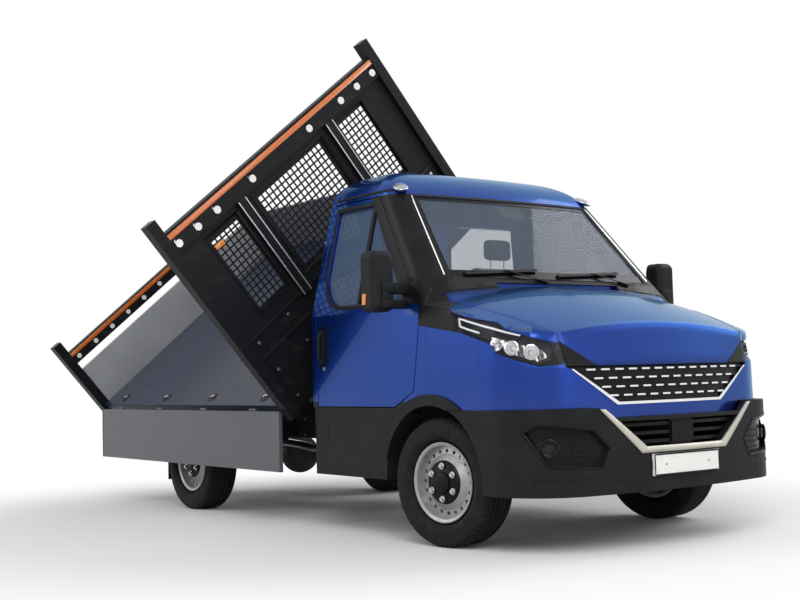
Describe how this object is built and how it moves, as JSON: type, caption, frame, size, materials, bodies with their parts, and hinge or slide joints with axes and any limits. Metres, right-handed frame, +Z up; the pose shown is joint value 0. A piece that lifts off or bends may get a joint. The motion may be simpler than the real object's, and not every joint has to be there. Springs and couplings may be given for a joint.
{
  "type": "light dump truck",
  "caption": "Light dump truck with a bonneted cab and a bed that tips sideways on a telescopic ram, drop sides and mesh headboard.",
  "frame": {"origin": "on the ground in the middle of the part's outer box, which the tipped bed shifts to the vehicle's right of its centre plane", "axes": "+X forward, +Y to the vehicle's left, +Z up"},
  "size_m": [5.385, 3.2707, 3.2631],
  "materials": {
    "blue": "metallic gloss",
    "glass": "clear",
    "lamp": "clear",
    "lamp_plastic": "gloss",
    "black_plastic": "grained",
    "bright": "polished",
    "silver_trim": "satin",
    "plate": "satin",
    "cloth": "woven",
    "dash": "grained",
    "alloy": "mill",
    "bed_paint": "satin",
    "iron": "rough",
    "tyre": "matt",
    "rim_steel": "satin",
    "chassis_paint": "satin"
  },
  "bodies": {
    "base": {"bright_trim": "bright", "bumper_trim": "silver_trim", "cab_floor": "blue", "cab_front_frame": "blue", "cab_glass": "glass", "cab_rear_wall": "blue", "cab_roof": "blue", "cab_seating": "cloth", "cowl_and_wipers": "black_plastic", "cross_members": "chassis_paint", "dash_and_steering": "dash", "engine_and_gearbox": "iron", "frame_rails": "chassis_paint", "front_axle_beam": "iron", "front_bumper": "black_plastic", "front_lamps": "lamp", "front_wings": "blue", "fuel_tank": "chassis_paint", "grilles": "black_plastic", "hydraulic_pack": "chassis_paint", "leaf_springs": "chassis_paint", "lower_cladding": "black_plastic", "marker_lamps": "lamp_plastic", "nose_panel": "blue", "number_plate": "plate", "rear_axle": "iron", "rear_underrun": "chassis_paint", "subframe_beams": "chassis_paint", "subframe_bearers": "chassis_paint", "wheel_guards": "black_plastic"},
    "door_right": {"door_right": "blue", "door_glass_right": "glass", "door_fittings_right": "black_plastic"},
    "door_left": {"door_left": "blue", "door_glass_left": "glass", "door_fittings_left": "black_plastic"},
    "bonnet": {"bonnet": "blue"},
    "knuckle_right": {"knuckle_right": "iron"},
    "knuckle_left": {"knuckle_left": "iron"},
    "wheel_front_right": {"rim_front_right": "rim_steel", "tyre_front_right": "tyre"},
    "wheel_front_left": {"rim_front_left": "rim_steel", "tyre_front_left": "tyre"},
    "wheel_rear_right": {"rim_rear_right": "rim_steel", "tyre_rear_right": "tyre"},
    "wheel_rear_left": {"rim_rear_left": "rim_steel", "tyre_rear_left": "tyre"},
    "bed": {"bed_floor": "bed_paint", "bed_posts": "bed_paint", "bed_beams": "bed_paint", "head_panel": "bed_paint", "head_mesh": "bed_paint"},
    "drop_side_right": {"drop_side_right": "alloy"},
    "drop_side_left": {"drop_side_left": "alloy"},
    "tailgate": {"tailgate": "alloy"},
    "ram_barrel": {"ram_barrel": "chassis_paint"},
    "ram_stage_1": {"ram_stage_1": "bright"},
    "ram_stage_2": {"ram_stage_2": "bright"}
  },
  "joints": [
    {"name": "door_right_hinge", "type": "hinge", "parent": "base", "child": "door_right", "pos_m": [1.644, -0.612, 1.3], "axis": [0, 0, 1], "range_deg": [0, 67]},
    {"name": "door_left_hinge", "type": "hinge", "parent": "base", "child": "door_left", "pos_m": [1.644, 1.384, 1.3], "axis": [0, 0, -1], "range_deg": [0, 67]},
    {"name": "bonnet_hinge", "type": "hinge", "parent": "base", "child": "bonnet", "pos_m": [1.768, 0.386, 1.455], "axis": [0, -1, 0], "range_deg": [0, 50]},
    {"name": "steer_right", "type": "hinge", "parent": "base", "child": "knuckle_right", "pos_m": [1.732, -0.346, 0.356], "axis": [0, 0, 1], "range_deg": [-40, 24]},
    {"name": "steer_left", "type": "hinge", "parent": "base", "child": "knuckle_left", "pos_m": [1.732, 1.118, 0.356], "axis": [0, 0, 1], "range_deg": [-40, 24]},
    {"name": "spin_front_right", "type": "hinge", "parent": "knuckle_right", "child": "wheel_front_right", "pos_m": [1.75009, -0.47473, 0.356], "axis": [-0.1392, 0.9903, 0], "continuous": true},
    {"name": "spin_front_left", "type": "hinge", "parent": "knuckle_left", "child": "wheel_front_left", "pos_m": [1.71391, 1.24673, 0.356], "axis": [-0.1392, 0.9903, 0], "continuous": true},
    {"name": "spin_rear_right", "type": "hinge", "parent": "base", "child": "wheel_rear_right", "pos_m": [-1.268, -0.476, 0.356], "axis": [0, 1, 0], "continuous": true},
    {"name": "spin_rear_left", "type": "hinge", "parent": "base", "child": "wheel_rear_left", "pos_m": [-1.268, 1.248, 0.356], "axis": [0, 1, 0], "continuous": true},
    {"name": "bed_tip", "type": "hinge", "parent": "base", "child": "bed", "pos_m": [-1.1855, -0.374, 0.87], "axis": [1, 0, 0], "range_deg": [-40, 0]},
    {"name": "drop_side_right_hinge", "type": "hinge", "parent": "bed", "child": "drop_side_right", "pos_m": [-1.1855, -0.6828, 0.74796], "axis": [1, 0, 0], "range_deg": [-140, 8]},
    {"name": "drop_side_left_hinge", "type": "hinge", "parent": "bed", "child": "drop_side_left", "pos_m": [-1.1855, 0.9642, 2.12995], "axis": [-1, 0, 0], "range_deg": [0, 175]},
    {"name": "tailgate_hinge", "type": "hinge", "parent": "bed", "child": "tailgate", "pos_m": [-2.639, 0.15998, 1.41597], "axis": [0, -0.766, -0.6428], "range_deg": [0, 170]},
    {"name": "ram_tilt", "type": "hinge", "parent": "base", "child": "ram_barrel", "pos_m": [-0.688, 0.386, 0.61], "axis": [1, 0, 0], "range_deg": [-14.98, 0.5]},
    {"name": "ram_slide_1", "type": "slide", "parent": "ram_barrel", "child": "ram_stage_1", "axis": [0, -0.2501, 0.9682], "range_m": [-0.25489, 0.002]},
    {"name": "ram_slide_2", "type": "slide", "parent": "ram_stage_1", "child": "ram_stage_2", "axis": [0, -0.2501, 0.9682], "range_m": [-0.25489, 0.002]}
  ],
  "couplings": [
    {"joint": "steer_left", "follows": "steer_right", "ratio": 1},
    {"joint": "ram_tilt", "follows": "bed_tip", "ratio": 0.36214},
    {"joint": "ram_slide_1", "follows": "bed_tip", "m_per_rad": 0.36224},
    {"joint": "ram_slide_2", "follows": "bed_tip", "m_per_rad": 0.36224}
  ]
}
